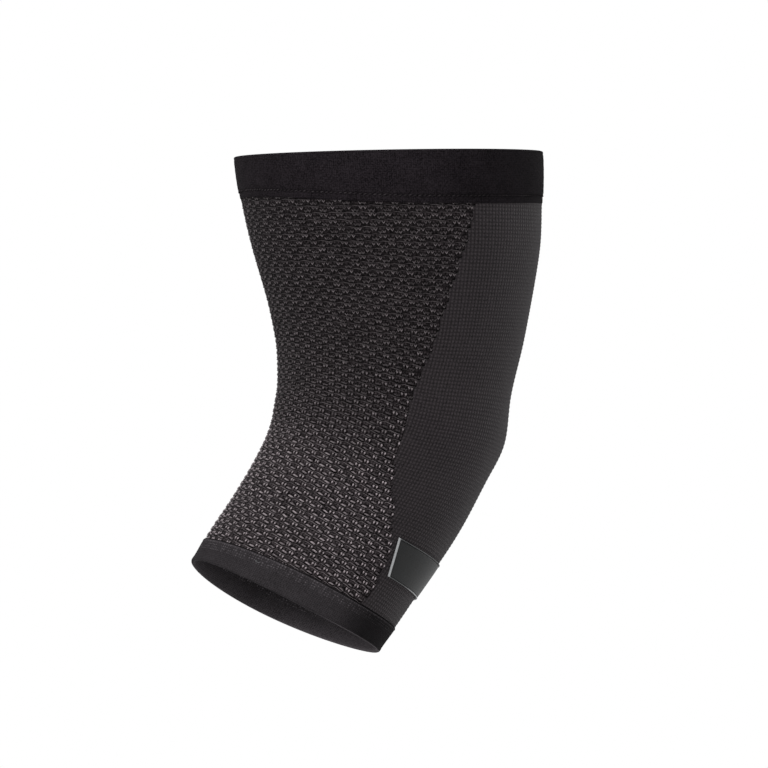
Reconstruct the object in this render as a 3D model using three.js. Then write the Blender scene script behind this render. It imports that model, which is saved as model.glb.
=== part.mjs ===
// A pull-on knit knee sleeve in the form it takes on a bent leg: an elastic band at the thigh, an open
// mesh panel round the back of the leg, a plain ribbed panel over the kneecap, a narrow band on the
// shin, and a satin label with a pale trim low on the front.
//
// Millimetres. +X is the front of the knee, +Z runs up the thigh, and the two sides of the plane
// Y = 0 are alike. The origin is the middle of the leg where the knee bends.

import * as THREE from "three";

const degrees = THREE.MathUtils.degToRad;

// The leg that the sleeve fits: two lengths along its middle line from the knee, then its depths from
// front to back and its widths at the top rim, at the knee and at the bottom rim.
const THIGH_RUN = 138.5;
const SHIN_RUN = 112;
const KNEE_BEND = degrees(28);
const THIGH_DEPTH = 157;
const THIGH_WIDTH = 149;
const KNEE_DEPTH = 117.5;
const KNEE_WIDTH = 109;
const CALF_DEPTH = 104;
const CALF_WIDTH = 99;

// The kneecap's low dome on the front of the leg.
const KNEECAP_RISE = 2.2;
const KNEECAP_HEIGHT = 36;
const KNEECAP_WIDTH = 64;
const KNEECAP_LEVEL = 1;

// The fabric.
const KNIT_WALL = 1.8;
const TOP_BAND_WALL = 2.4;
const TOP_BAND_FRONT = 26;
const TOP_BAND_SIDE = 27.6;
const TOP_BAND_BACK = 22.6;
const HEM_WALL = 2;
const HEM_HEIGHT = 4;
const BOTTOM_BAND_WALL = 2.3;
const BOTTOM_BAND_FRONT = 15.2;
const BOTTOM_BAND_SIDE = 15.6;
const BOTTOM_BAND_BACK = 12;
const BOTTOM_RIM_SAG = 2.5;
const EDGE_ROUND = 0.5;
const FRONT_PANEL_SPREAD = degrees(98);

// The label, with its trim, lies this far above the bottom band and narrows downwards.
const LABEL_RISE = 19.4;
const LABEL_HEIGHT = 20;
const LABEL_TOP_WIDTH = 136;
const LABEL_FOOT_WIDTH = 118;
const LABEL_WALL = 0.6;
const TRIM_SIDE = 1.2;
const TRIM_RAIL = 0.5;
const TRIM_WALL = 0.7;

// Clearance between pieces that meet.
const GAP = 0.3;

// Facets: round the whole leg, and up the panels, the label and its trim.
const FACETS_ROUND = 60;
const FACETS_UP = 26;
const LABEL_FACETS_ROUND = 24;
const LABEL_FACETS_UP = 4;
const MIDDLE_LINE_STEPS = 24;

// Sections of the leg from the bottom rim to the top rim. at: the place on the middle line, as a share
// of SHIN_RUN below the knee and of THIGH_RUN above it. turn: the tilt of the section, as a share of
// KNEE_BEND. shift: how far its middle lies in front of the middle line, as a share of its depth.
// depth and width: shares of the depth and width that the three named pairs blend to there.
const SECTIONS = [
  { at: -1.0, turn: 0.95, shift: -0.118, depth: 1.0, width: 1.0 },
  { at: -0.85, turn: 0.98, shift: -0.096, depth: 1.005, width: 1.0 },
  { at: -0.65, turn: 0.98, shift: -0.067, depth: 0.98, width: 0.99 },
  { at: -0.4, turn: 0.89, shift: -0.032, depth: 0.96, width: 0.98 },
  { at: -0.2, turn: 0.69, shift: -0.011, depth: 0.96, width: 0.99 },
  { at: 0.0, turn: 0.43, shift: 0.005, depth: 1.0, width: 1.0 },
  { at: 0.15, turn: 0.18, shift: 0.006, depth: 1.0, width: 1.0 },
  { at: 0.3, turn: 0.02, shift: 0.019, depth: 1.005, width: 1.0 },
  { at: 0.45, turn: 0.0, shift: 0.017, depth: 1.005, width: 1.0 },
  { at: 0.65, turn: 0.0, shift: 0.003, depth: 1.01, width: 1.01 },
  { at: 0.82, turn: -0.01, shift: -0.012, depth: 1.0, width: 1.0 },
  { at: 1.0, turn: -0.04, shift: -0.022, depth: 1.0, width: 1.0 },
];

// The edge between the two knit panels. spread: its angle from the front, as a share of
// FRONT_PANEL_SPREAD, at the same kind of place.
const PANEL_EDGE = [
  { at: -1.0, spread: 0.68 },
  { at: -0.7, spread: 0.69 },
  { at: -0.6, spread: 0.73 },
  { at: -0.45, spread: 0.84 },
  { at: -0.3, spread: 0.94 },
  { at: -0.15, spread: 0.99 },
  { at: 0.05, spread: 1.0 },
  { at: 0.25, spread: 0.94 },
  { at: 0.5, spread: 0.86 },
  { at: 0.75, spread: 0.77 },
  { at: 1.0, spread: 0.7 },
];

// A column of a table at any place, on a smooth curve through the rows.
function column(rows, name, at) {
  const slope = (i) => {
    const before = rows[Math.max(i - 1, 0)];
    const after = rows[Math.min(i + 1, rows.length - 1)];
    return (after[name] - before[name]) / (after.at - before.at);
  };
  const above = rows.findIndex((row) => row.at > at);
  const i = above < 0 ? rows.length - 2 : Math.max(above - 1, 0);
  const span = rows[i + 1].at - rows[i].at;
  const t = (at - rows[i].at) / span;
  const eased = t * t * (3 - 2 * t);
  const leaving = slope(i) * span * t * (1 - t) * (1 - t);
  const arriving = slope(i + 1) * span * t * t * (t - 1);
  return rows[i][name] * (1 - eased) + rows[i + 1][name] * eased + leaving + arriving;
}

// The share of its run that a level lies at. A level is a distance along the middle line from the
// knee, up the thigh if positive and down the shin if negative.
const placeOf = (level) => level / (level > 0 ? THIGH_RUN : SHIN_RUN);

// The size at a level that blends evenly from the knee's to the thigh's or the calf's.
function blended(at, thigh, knee, calf) {
  const share = Math.min(Math.abs(at), 1);
  return knee + ((at > 0 ? thigh : calf) - knee) * share * share * (3 - 2 * share);
}

// A low round rise, 1 in its middle and 0 from one unit away.
const dome = (distance) => (Math.abs(distance) < 1 ? (1 + Math.cos(Math.PI * distance)) / 2 : 0);

// The section of the leg at a level: its middle, tilt, depth and width.
function sectionAt(level) {
  const at = placeOf(level);
  const tiltAt = (place) => column(SECTIONS, "turn", place) * KNEE_BEND;
  const depth = column(SECTIONS, "depth", at) * blended(at, THIGH_DEPTH, KNEE_DEPTH, CALF_DEPTH);
  const width = column(SECTIONS, "width", at) * blended(at, THIGH_WIDTH, KNEE_WIDTH, CALF_WIDTH);
  const shift = column(SECTIONS, "shift", at) * depth;
  const tilt = tiltAt(at);
  const middle = new THREE.Vector3(shift * Math.cos(tilt), 0, -shift * Math.sin(tilt));
  const step = level / MIDDLE_LINE_STEPS;
  for (let i = 0; i < MIDDLE_LINE_STEPS; i++) {
    const along = tiltAt((at * (i + 0.5)) / MIDDLE_LINE_STEPS);
    middle.x += step * Math.sin(along);
    middle.z += step * Math.cos(along);
  }
  return { middle, tilt, depth, width };
}

// The middle radius at a level, which turns a distance round the sleeve into an angle.
function radiusAt(level) {
  const { depth, width } = sectionAt(level);
  return (depth + width) / 4 + KNIT_WALL;
}

// A point of the leg's surface. The angle runs from the front round by +Y to the back.
function legPoint(level, angle) {
  const { middle, tilt, depth, width } = sectionAt(level);
  const side = (width / 2) * Math.sin(angle);
  const up = dome((2 * (level - KNEECAP_LEVEL)) / KNEECAP_HEIGHT);
  const across = Math.cos(angle) > 0 ? dome((2 * side) / KNEECAP_WIDTH) : 0;
  const forward = (depth / 2) * Math.cos(angle) + KNEECAP_RISE * up * across;
  return new THREE.Vector3(forward * Math.cos(tilt), side, -forward * Math.sin(tilt)).add(middle);
}

// A point of the sleeve: a height straight out from the leg's surface.
function sleevePoint(level, angle, height) {
  const small = 1e-3;
  const point = legPoint(level, angle);
  const round = legPoint(level, angle + small).sub(legPoint(level, angle - small));
  const up = legPoint(level + small, angle).sub(legPoint(level - small, angle));
  return point.addScaledVector(round.cross(up).normalize(), height);
}

// A mesh of three.js triangles from quads that are named by their corners, counter-clockwise from
// outside.
function quadMesh(name, corners, quads, material) {
  const geometry = new THREE.BufferGeometry();
  const positions = corners.flatMap((corner) => corner.toArray());
  geometry.setAttribute("position", new THREE.Float32BufferAttribute(positions, 3));
  geometry.setIndex(quads.flatMap(([a, b, c, d]) => [a, b, c, a, c, d]));
  geometry.computeVertexNormals();
  const mesh = new THREE.Mesh(geometry, material);
  mesh.name = name;
  return mesh;
}

// A shell of fabric over a grid of the sleeve. rows holds one list of {level, angle, low, high} for
// each row from the bottom up: the place of a point and the heights of the two faces there. A band
// that closes round the leg joins its last column to its first.
function shell(name, rows, closes, material) {
  const across = rows[0].length;
  const corners = rows.flatMap((row) =>
    row.flatMap(({ level, angle, low, high }) => [
      sleevePoint(level, angle, low),
      sleevePoint(level, angle, high),
    ]),
  );
  const inner = (row, i) => 2 * (row * across + (i % across));
  const outer = (row, i) => inner(row, i) + 1;
  const top = rows.length - 1;
  const quads = [];
  for (let i = 0; i < (closes ? across : across - 1); i++) {
    for (let row = 0; row < top; row++) {
      quads.push([outer(row, i), outer(row, i + 1), outer(row + 1, i + 1), outer(row + 1, i)]);
      quads.push([inner(row, i + 1), inner(row, i), inner(row + 1, i), inner(row + 1, i + 1)]);
    }
    quads.push([inner(0, i), inner(0, i + 1), outer(0, i + 1), outer(0, i)]);
    quads.push([outer(top, i), outer(top, i + 1), inner(top, i + 1), inner(top, i)]);
  }
  if (!closes) {
    for (let row = 0; row < top; row++) {
      const end = across - 1;
      quads.push([inner(row, 0), outer(row, 0), outer(row + 1, 0), inner(row + 1, 0)]);
      quads.push([outer(row, end), inner(row, end), inner(row + 1, end), outer(row + 1, end)]);
    }
  }
  return quadMesh(name, corners, quads, material);
}

// A height that changes evenly round the leg, from three named ones.
function roundTheLeg(angle, front, side, back) {
  const turned = Math.cos(angle);
  return side + ((turned > 0 ? front : back) - side) * turned * turned;
}

// The levels of the two bands' edges at an angle. The bottom rim hangs lower at the sides of the leg.
const topBandHeight = (angle) => roundTheLeg(angle, TOP_BAND_FRONT, TOP_BAND_SIDE, TOP_BAND_BACK);
const topBandFoot = (angle) => THIGH_RUN - topBandHeight(angle);
const bottomRim = (angle) => -SHIN_RUN - BOTTOM_RIM_SAG * Math.sin(angle) ** 2;
const bottomBandTop = (angle) =>
  bottomRim(angle) + roundTheLeg(angle, BOTTOM_BAND_FRONT, BOTTOM_BAND_SIDE, BOTTOM_BAND_BACK);

// The angles of a band's columns, all the way round.
const ringAngles = Array.from({ length: FACETS_ROUND }, (_, i) => (2 * Math.PI * i) / FACETS_ROUND);

// A band round the leg from rows of {levelAt, wall}: the level at each angle, and the wall there.
function band(name, profile, material) {
  const rows = profile.map(({ levelAt, wall }) =>
    ringAngles.map((angle) => ({ level: levelAt(angle), angle, low: 0, high: wall })),
  );
  return shell(name, rows, true, material);
}

// The thigh band: a thinner hem below its stitching line, then the full elastic, with soft edges.
function topBand(material) {
  const above = (rise) => (angle) => topBandFoot(angle) + rise;
  const share = (part) => (angle) =>
    topBandFoot(angle) + HEM_HEIGHT + (topBandHeight(angle) - HEM_HEIGHT) * part;
  const profile = [
    { levelAt: above(0), wall: HEM_WALL - EDGE_ROUND },
    { levelAt: above(EDGE_ROUND), wall: HEM_WALL },
    { levelAt: above(HEM_HEIGHT - EDGE_ROUND), wall: HEM_WALL },
    { levelAt: above(HEM_HEIGHT), wall: TOP_BAND_WALL },
    { levelAt: share(0.5), wall: TOP_BAND_WALL },
    { levelAt: () => THIGH_RUN - EDGE_ROUND, wall: TOP_BAND_WALL },
    { levelAt: () => THIGH_RUN, wall: TOP_BAND_WALL - EDGE_ROUND },
  ];
  return band("top_band", profile, material);
}

// The shin band, with soft edges.
function bottomBand(material) {
  const profile = [
    { levelAt: bottomRim, wall: BOTTOM_BAND_WALL - EDGE_ROUND },
    { levelAt: (angle) => bottomRim(angle) + EDGE_ROUND, wall: BOTTOM_BAND_WALL },
    { levelAt: (angle) => (bottomRim(angle) + bottomBandTop(angle)) / 2, wall: BOTTOM_BAND_WALL },
    { levelAt: (angle) => bottomBandTop(angle) - EDGE_ROUND, wall: BOTTOM_BAND_WALL },
    { levelAt: bottomBandTop, wall: KNIT_WALL },
  ];
  return band("bottom_band", profile, material);
}

// The angle from the front of the edge between the two panels.
const panelEdge = (level) => FRONT_PANEL_SPREAD * column(PANEL_EDGE, "spread", placeOf(level));

// A knit panel between the two bands, from one angle to another, both given by the level.
function knitPanel(name, from, to, facets, material) {
  const levelAt = (angle, up) => {
    const foot = bottomBandTop(angle) + GAP;
    return foot + (topBandFoot(angle) - GAP - foot) * up;
  };
  const rows = [];
  for (let row = 0; row <= FACETS_UP; row++) {
    const up = row / FACETS_UP;
    const nominal = levelAt(Math.PI / 2, up);
    const points = [];
    for (let i = 0; i <= facets; i++) {
      const angle = from(nominal) + (to(nominal) - from(nominal)) * (i / facets);
      points.push({ level: levelAt(angle, up), angle, low: 0, high: KNIT_WALL });
    }
    rows.push(points);
  }
  return shell(name, rows, false, material);
}

// Half of the clearance between the panels, as an angle.
const halfSeam = (level) => GAP / 2 / radiusAt(level);

function frontPanel(material) {
  const reach = (level) => panelEdge(level) - halfSeam(level);
  return knitPanel("front_panel", (level) => -reach(level), reach, FACETS_ROUND / 2, material);
}

function meshPanel(material) {
  const start = (level) => panelEdge(level) + halfSeam(level);
  const end = (level) => 2 * Math.PI - start(level);
  return knitPanel("mesh_panel", start, end, FACETS_ROUND / 2 + 4, material);
}

// A place on the label's flat pattern: a distance from the front and a height above its foot, which
// follows the shin band's upper edge.
function labelPlace(across, up) {
  const angle = across / radiusAt(bottomBandTop(0) + LABEL_RISE + up);
  return { level: bottomBandTop(angle) + LABEL_RISE + up, angle };
}

// Half of the label's width at a height above its foot.
const labelHalf = (up) =>
  (LABEL_FOOT_WIDTH + ((LABEL_TOP_WIDTH - LABEL_FOOT_WIDTH) * up) / LABEL_HEIGHT) / 2;

// The height that the label and its trim lie at, over the panel's outer face.
const labelLow = KNIT_WALL + GAP;

function labelPatch(material) {
  const foot = TRIM_RAIL + GAP;
  const rows = [];
  for (let row = 0; row <= LABEL_FACETS_UP; row++) {
    const up = foot + ((LABEL_HEIGHT - 2 * foot) * row) / LABEL_FACETS_UP;
    const half = labelHalf(up) - TRIM_SIDE - GAP;
    const points = [];
    for (let i = 0; i <= LABEL_FACETS_ROUND; i++) {
      const across = half * ((2 * i) / LABEL_FACETS_ROUND - 1);
      points.push({ ...labelPlace(across, up), low: labelLow, high: labelLow + LABEL_WALL });
    }
    rows.push(points);
  }
  return shell("label_patch", rows, false, material);
}

// The trim is one closed frame round the patch: wide bars at its two ends, thin rails above and below.
// A section of four corners goes round it through places that are shares of the label's half width
// and of its height.
function labelTrim(material) {
  const place = (share, rail, bar) => {
    const up = rail + share.up * (LABEL_HEIGHT - 2 * rail);
    return labelPlace(share.across * (labelHalf(up) - bar), up);
  };
  const halfway = [];
  for (let i = 0; i < LABEL_FACETS_ROUND; i++) {
    halfway.push({ across: (2 * i) / LABEL_FACETS_ROUND - 1, up: 0 });
  }
  for (let i = 0; i < LABEL_FACETS_UP; i++) {
    halfway.push({ across: 1, up: i / LABEL_FACETS_UP });
  }
  const backAgain = halfway.map(({ across, up }) => ({ across: -across, up: 1 - up }));
  const round = [...halfway, ...backAgain];
  const corners = round.flatMap((share) => {
    const outside = place(share, 0, 0);
    const inside = place(share, TRIM_RAIL, TRIM_SIDE);
    return [
      sleevePoint(outside.level, outside.angle, labelLow),
      sleevePoint(outside.level, outside.angle, labelLow + TRIM_WALL),
      sleevePoint(inside.level, inside.angle, labelLow + TRIM_WALL),
      sleevePoint(inside.level, inside.angle, labelLow),
    ];
  });
  const corner = (i, side) => 4 * (i % round.length) + (side % 4);
  const quads = [];
  for (let i = 0; i < round.length; i++) {
    for (let side = 0; side < 4; side++) {
      quads.push([
        corner(i, side),
        corner(i + 1, side),
        corner(i + 1, side + 1),
        corner(i, side + 1),
      ]);
    }
  }
  return quadMesh("label_trim", corners, quads, material);
}

const fabric = (color, roughness) =>
  new THREE.MeshStandardMaterial({ color, roughness, metalness: 0 });

const sleeve = new THREE.Group();
sleeve.name = "knee_sleeve";
sleeve.add(
  topBand(fabric(0x201d1f, 0.85)),
  meshPanel(fabric(0x3a3637, 0.95)),
  frontPanel(fabric(0x312e2f, 0.9)),
  bottomBand(fabric(0x312e30, 0.85)),
  labelPatch(fabric(0x373737, 0.45)),
  labelTrim(fabric(0xbdbdbd, 0.5)),
);

export default sleeve;
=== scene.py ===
"""A pull-on knit knee sleeve: an elastic band at the thigh, an open mesh panel round the back of the leg,
a plain ribbed panel over the kneecap, a narrow band on the shin, and a satin label with a pale trim.

The sleeve's surface is the CAD model's own, worked out here again from the same sizes and tables, and
every piece lies on it. Lengths are in millimetres until a mesh is made, which is in metres.
"""

import math

import bpy
import numpy as np
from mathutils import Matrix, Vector


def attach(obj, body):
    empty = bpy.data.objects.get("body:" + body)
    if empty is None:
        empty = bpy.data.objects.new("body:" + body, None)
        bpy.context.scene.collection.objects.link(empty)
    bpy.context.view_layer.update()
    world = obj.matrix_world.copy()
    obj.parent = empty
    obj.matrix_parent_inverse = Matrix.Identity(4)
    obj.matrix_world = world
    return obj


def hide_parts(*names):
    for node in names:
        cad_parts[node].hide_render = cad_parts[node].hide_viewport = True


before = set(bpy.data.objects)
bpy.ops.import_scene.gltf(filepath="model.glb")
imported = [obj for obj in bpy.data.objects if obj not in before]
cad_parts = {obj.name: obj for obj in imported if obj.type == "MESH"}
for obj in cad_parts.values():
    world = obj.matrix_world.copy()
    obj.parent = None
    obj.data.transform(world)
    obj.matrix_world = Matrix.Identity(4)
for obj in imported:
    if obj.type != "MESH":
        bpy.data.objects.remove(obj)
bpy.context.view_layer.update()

MM = 0.001

# The leg that the sleeve fits, as in the CAD model.
THIGH_RUN = 138.5
SHIN_RUN = 112
KNEE_BEND = math.radians(28)
THIGH_DEPTH = 157
THIGH_WIDTH = 149
KNEE_DEPTH = 117.5
KNEE_WIDTH = 109
CALF_DEPTH = 104
CALF_WIDTH = 99
KNEECAP_RISE = 2.2
KNEECAP_HEIGHT = 36
KNEECAP_WIDTH = 64
KNEECAP_LEVEL = 1

# The fabric, as in the CAD model.
KNIT_WALL = 1.8
TOP_BAND_WALL = 2.4
TOP_BAND_FRONT = 26
TOP_BAND_SIDE = 27.6
TOP_BAND_BACK = 22.6
BOTTOM_BAND_WALL = 2.3
BOTTOM_BAND_FRONT = 15.2
BOTTOM_BAND_SIDE = 15.6
BOTTOM_BAND_BACK = 12
BOTTOM_RIM_SAG = 2.5
FRONT_PANEL_SPREAD = math.radians(98)

# The label, as in the CAD model.
LABEL_RISE = 19.4
LABEL_HEIGHT = 20
LABEL_TOP_WIDTH = 136
LABEL_FOOT_WIDTH = 118
TRIM_SIDE = 1.2
TRIM_RAIL = 0.5
GAP = 0.3


def table(columns, *rows):
    """Each column of a table under its name, from the names and the rows."""
    return dict(zip(columns.split(), np.array(rows, float).T))


# Sections of the leg, and the edge between the two knit panels, as in the CAD model. at: the place on
# the middle line, as a share of SHIN_RUN below the knee and of THIGH_RUN above it.
SECTIONS = table(
    "at turn shift depth width",
    (-1.0, 0.95, -0.118, 1.0, 1.0),
    (-0.85, 0.98, -0.096, 1.005, 1.0),
    (-0.65, 0.98, -0.067, 0.98, 0.99),
    (-0.4, 0.89, -0.032, 0.96, 0.98),
    (-0.2, 0.69, -0.011, 0.96, 0.99),
    (0.0, 0.43, 0.005, 1.0, 1.0),
    (0.15, 0.18, 0.006, 1.0, 1.0),
    (0.3, 0.02, 0.019, 1.005, 1.0),
    (0.45, 0.0, 0.017, 1.005, 1.0),
    (0.65, 0.0, 0.003, 1.01, 1.01),
    (0.82, -0.01, -0.012, 1.0, 1.0),
    (1.0, -0.04, -0.022, 1.0, 1.0),
)
PANEL_EDGE = table(
    "at spread",
    (-1.0, 0.68),
    (-0.7, 0.69),
    (-0.6, 0.73),
    (-0.45, 0.84),
    (-0.3, 0.94),
    (-0.15, 0.99),
    (0.05, 1.0),
    (0.25, 0.94),
    (0.5, 0.86),
    (0.75, 0.77),
    (1.0, 0.7),
)

# The knit. row: the height of one row of the mesh pattern. motifs: how many of its repeats would fit
# round the whole leg. Both change along the leg as the fabric stretches.
KNIT = table(
    "at row motifs",
    (-1.0, 3.55, 46.5),
    (-0.5, 3.55, 48.0),
    (0.0, 3.85, 50.0),
    (0.5, 3.75, 53.0),
    (1.0, 3.95, 54.5),
)
# How far the knit's rows are pulled up along the leg, in millimetres: at the back, and at the front.
PULL = table(
    "at behind before",
    (-1.0, 0.0, 0.0),
    (-0.88, 0.0, 0.0),
    (-0.62, 0.2, 5.5),
    (-0.42, 2.5, 7.0),
    (-0.17, 6.2, 6.0),
    (0.0, 7.8, 3.8),
    (0.22, 7.8, 1.0),
    (0.38, 5.2, 0.0),
    (0.55, 3.0, 0.0),
    (0.8, 0.0, 0.0),
    (1.0, 0.0, 0.0),
)
# How far round the leg the two pulls reach: 1 is the middle of the back, and -1 that of the front.
PULL_BEHIND_FROM = -0.1
PULL_BEHIND_POWER = 1.5
PULL_BEFORE_FROM = 0.4
PULL_BEFORE_REACH = 1.2

# How much wider the wales are at the back than at the sides.
BACK_SPREAD = 0.12

# The levels between which the mesh goes from close, on the shin, to stretched wide, on the thigh.
CLOSE_LEVEL = -20
WIDE_LEVEL = 60

WALES_PER_MOTIF = 4
COURSES_PER_ROW = 2
SEED = 20


# Curves and the leg's surface


def eased(share):
    """A share from 0 to 1 that starts and ends softly."""
    return share**2 * (3 - 2 * share)


def column(rows, name, at):
    """A column of a table at any place, on a smooth curve through its rows."""
    places, values = rows["at"], rows[name]
    last = len(places) - 1
    before = np.maximum(np.arange(last + 1) - 1, 0)
    after = np.minimum(np.arange(last + 1) + 1, last)
    slopes = (values[after] - values[before]) / (places[after] - places[before])
    i = np.clip(np.searchsorted(places, at, side="right") - 1, 0, last - 1)
    span = places[i + 1] - places[i]
    t = (at - places[i]) / span
    leaving = slopes[i] * span * t * (1 - t) ** 2
    arriving = slopes[i + 1] * span * t * t * (t - 1)
    return values[i] * (1 - eased(t)) + values[i + 1] * eased(t) + leaving + arriving


def place_of(level):
    """The share of its run that a level lies at, a distance along the middle line from the knee."""
    return np.where(level > 0, level / THIGH_RUN, level / SHIN_RUN)


def blended(at, thigh, knee, calf):
    """A measure that changes softly from the knee to both ends."""
    return knee + (np.where(at > 0, thigh, calf) - knee) * eased(np.minimum(np.abs(at), 1))


def dome(distance):
    """A low round rise, 1 in its middle and 0 from one unit away."""
    return np.where(np.abs(distance) < 1, (1 + np.cos(np.pi * distance)) / 2, 0)


def tilt_at(at):
    """How far a section leans, as an angle."""
    return column(SECTIONS, "turn", at) * KNEE_BEND


SECTION_STEPS = 1500
PAST_SHIN = 10
PAST_THIGH = 5
MIDDLE_LINE_STEPS = 24


def section_table():
    """The leg's sections at close steps, from which any other is read in between."""
    level = np.linspace(-SHIN_RUN - PAST_SHIN, THIGH_RUN + PAST_THIGH, SECTION_STEPS)
    at = place_of(level)
    depth = column(SECTIONS, "depth", at) * blended(at, THIGH_DEPTH, KNEE_DEPTH, CALF_DEPTH)
    width = column(SECTIONS, "width", at) * blended(at, THIGH_WIDTH, KNEE_WIDTH, CALF_WIDTH)
    shift = column(SECTIONS, "shift", at) * depth
    tilt = tilt_at(at)
    along = tilt_at(at[:, None] * (np.arange(MIDDLE_LINE_STEPS) + 0.5) / MIDDLE_LINE_STEPS)
    x = shift * np.cos(tilt) + np.sin(along).mean(1) * level
    z = -shift * np.sin(tilt) + np.cos(along).mean(1) * level
    rows = np.concatenate([[0], np.cumsum(np.diff(level) / column(KNIT, "row", at[1:]))])
    rows -= np.interp(0, level, rows)
    motifs = column(KNIT, "motifs", at)
    names = "level depth width tilt x z row motifs"
    return dict(zip(names.split(), (level, depth, width, tilt, x, z, rows, motifs)))


SECTION = section_table()


def section(name, level):
    """A measure of the leg's section at a level."""
    return np.interp(level, SECTION["level"], SECTION[name])


def radius_at(level):
    """The middle radius at a level, which turns a distance round the sleeve into an angle."""
    return (section("depth", level) + section("width", level)) / 4 + KNIT_WALL


def leg_point(level, angle):
    """A point of the leg's surface. The angle runs from the front round by +Y to the back."""
    tilt = section("tilt", level)
    side = section("width", level) / 2 * np.sin(angle)
    up = dome(2 * (level - KNEECAP_LEVEL) / KNEECAP_HEIGHT)
    across = np.where(np.cos(angle) > 0, dome(2 * side / KNEECAP_WIDTH), 0)
    forward = section("depth", level) / 2 * np.cos(angle) + KNEECAP_RISE * up * across
    x = forward * np.cos(tilt) + section("x", level)
    z = -forward * np.sin(tilt) + section("z", level)
    return np.stack([x, side, z], -1)


def outward(level, angle):
    """The direction straight out from the leg's surface."""
    turn, rise = 1e-3, 0.3
    round_leg = leg_point(level, angle + turn) - leg_point(level, angle - turn)
    up = leg_point(level + rise, angle) - leg_point(level - rise, angle)
    normal = np.cross(round_leg, up)
    return normal / np.linalg.norm(normal, axis=-1, keepdims=True)


def sleeve_point(level, angle, height):
    """A point of the sleeve: a height straight out from the leg's surface."""
    level, angle, height = np.broadcast_arrays(level, angle, height)
    return leg_point(level, angle) + outward(level, angle) * height[..., None]


# Edges


def round_the_leg(angle, front, side, back):
    """A height that changes evenly round the leg, from three named ones."""
    turned = np.cos(angle)
    return side + (np.where(turned > 0, front, back) - side) * turned**2


def top_band_foot(angle):
    """The level of the thigh band's lower edge."""
    return THIGH_RUN - round_the_leg(angle, TOP_BAND_FRONT, TOP_BAND_SIDE, TOP_BAND_BACK)


def top_rim(angle):
    """The level of the sleeve's upper rim."""
    return np.full_like(angle, THIGH_RUN)


def bottom_rim(angle):
    """The level of the sleeve's lower rim."""
    return -SHIN_RUN - BOTTOM_RIM_SAG * np.sin(angle) ** 2


def bottom_band_top(angle):
    """The level of the shin band's upper edge."""
    height = round_the_leg(angle, BOTTOM_BAND_FRONT, BOTTOM_BAND_SIDE, BOTTOM_BAND_BACK)
    return bottom_rim(angle) + height


def panel_edge(level):
    """The angle from the front of the edge between the two panels."""
    return FRONT_PANEL_SPREAD * column(PANEL_EDGE, "spread", place_of(level))


# The knit's own coordinates: rows up the leg from the knee, and wales from the middle of the back


def row_at(level):
    """The row of the knit at a level, before its pull."""
    return section("row", level)


def level_of_row(row):
    """The level of a row of the knit, before its pull."""
    return np.interp(row, SECTION["row"], SECTION["level"])


def pull_at(level, angle):
    """How far a row of the knit is pulled up from its level at an angle from the front."""
    back = -np.cos(angle)
    behind = np.maximum(back - PULL_BEHIND_FROM, 0) ** PULL_BEHIND_POWER
    before = eased(np.clip((PULL_BEFORE_FROM - back) / PULL_BEFORE_REACH, 0, 1))
    at = place_of(level)
    return column(PULL, "behind", at) * behind + column(PULL, "before", at) * before


def wale_angle(level):
    """The angle that one wale takes."""
    return 2 * np.pi / (section("motifs", level) * WALES_PER_MOTIF)


def spread_turn(turn):
    """A turn from the middle of the back, once the fabric is stretched there."""
    return turn + BACK_SPREAD * np.sin(2 * turn) / 2


def angle_of_wale(level, wale):
    """The angle from the front of a place counted in wales from the middle of the back."""
    return np.pi + spread_turn(wale * wale_angle(level))


def pulled_place(row, wale):
    """The level and the angle of a place in the knit, once its row is pulled."""
    level = level_of_row(row)
    angle = angle_of_wale(level, wale)
    return level + pull_at(level, angle), angle


TURN_STEPS = 400


def edge_wale(row):
    """How many whole wales of the mesh lie on each side of the back's middle in a row of the knit."""
    level = level_of_row(np.floor(row) + 0.5)
    turn = np.linspace(0, np.pi, TURN_STEPS)
    edge = panel_edge(level + pull_at(level, panel_edge(level)))
    reach = np.interp(np.pi - edge, spread_turn(turn), turn)
    return np.round(reach / wale_angle(level))


def bump_shape(distance, reach):
    """A round rise, 1 in its middle and 0 from its reach away."""
    return dome(np.clip(distance / reach, -1, 1))


def cell_of(wale, row):
    """Where a place lies in its motif: across it in wales, from 0 to 4, and up it from 0 to 1."""
    stagger = np.mod(np.floor(row), 2) * WALES_PER_MOTIF / 2
    return np.mod(wale + stagger, WALES_PER_MOTIF), row - np.floor(row)


def stretch_at(level):
    """How wide the mesh is stretched, from 0 on the shin to 1 on the thigh."""
    return np.clip((level - CLOSE_LEVEL) / (WIDE_LEVEL - CLOSE_LEVEL), 0, 1)


def from_close(stretch, close, wide):
    """A measure of the mesh that goes with its stretch, from where it is close to where it is wide."""
    return close + (wide - close) * stretch


# The motif of the mesh: the middle of its float and of its two stitches, across it in wales, and the
# middle of its hole, up it in rows.
FLOAT_MIDDLE = 1.0
STITCH_MIDDLE = 3.0
HOLE_MIDDLE = -0.03


def hole_at(wale, row):
    """How deep in one of the mesh's holes a place is, from 0 to 1. A hole lies under each float."""
    across, up = cell_of(wale, row)
    over = np.mod(across + WALES_PER_MOTIF / 2, WALES_PER_MOTIF)
    stretch = stretch_at(level_of_row(row))
    reach = from_close(stretch, 1.3, 0.85)
    tall = from_close(stretch, 0.26, 0.34)
    own = bump_shape(across - FLOAT_MIDDLE, reach) * bump_shape(up - HOLE_MIDDLE, tall)
    next_row = bump_shape(over - FLOAT_MIDDLE, reach) * bump_shape(up - 1 - HOLE_MIDDLE, tall)
    return np.maximum(own, next_row)


GROOVE_WIDTH = 0.1


def groove_at(row):
    """The narrow groove between two rows, from 0 to 1."""
    up = row - np.floor(row)
    return np.exp(-((np.minimum(up, 1 - up) / GROOVE_WIDTH) ** 2))


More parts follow.
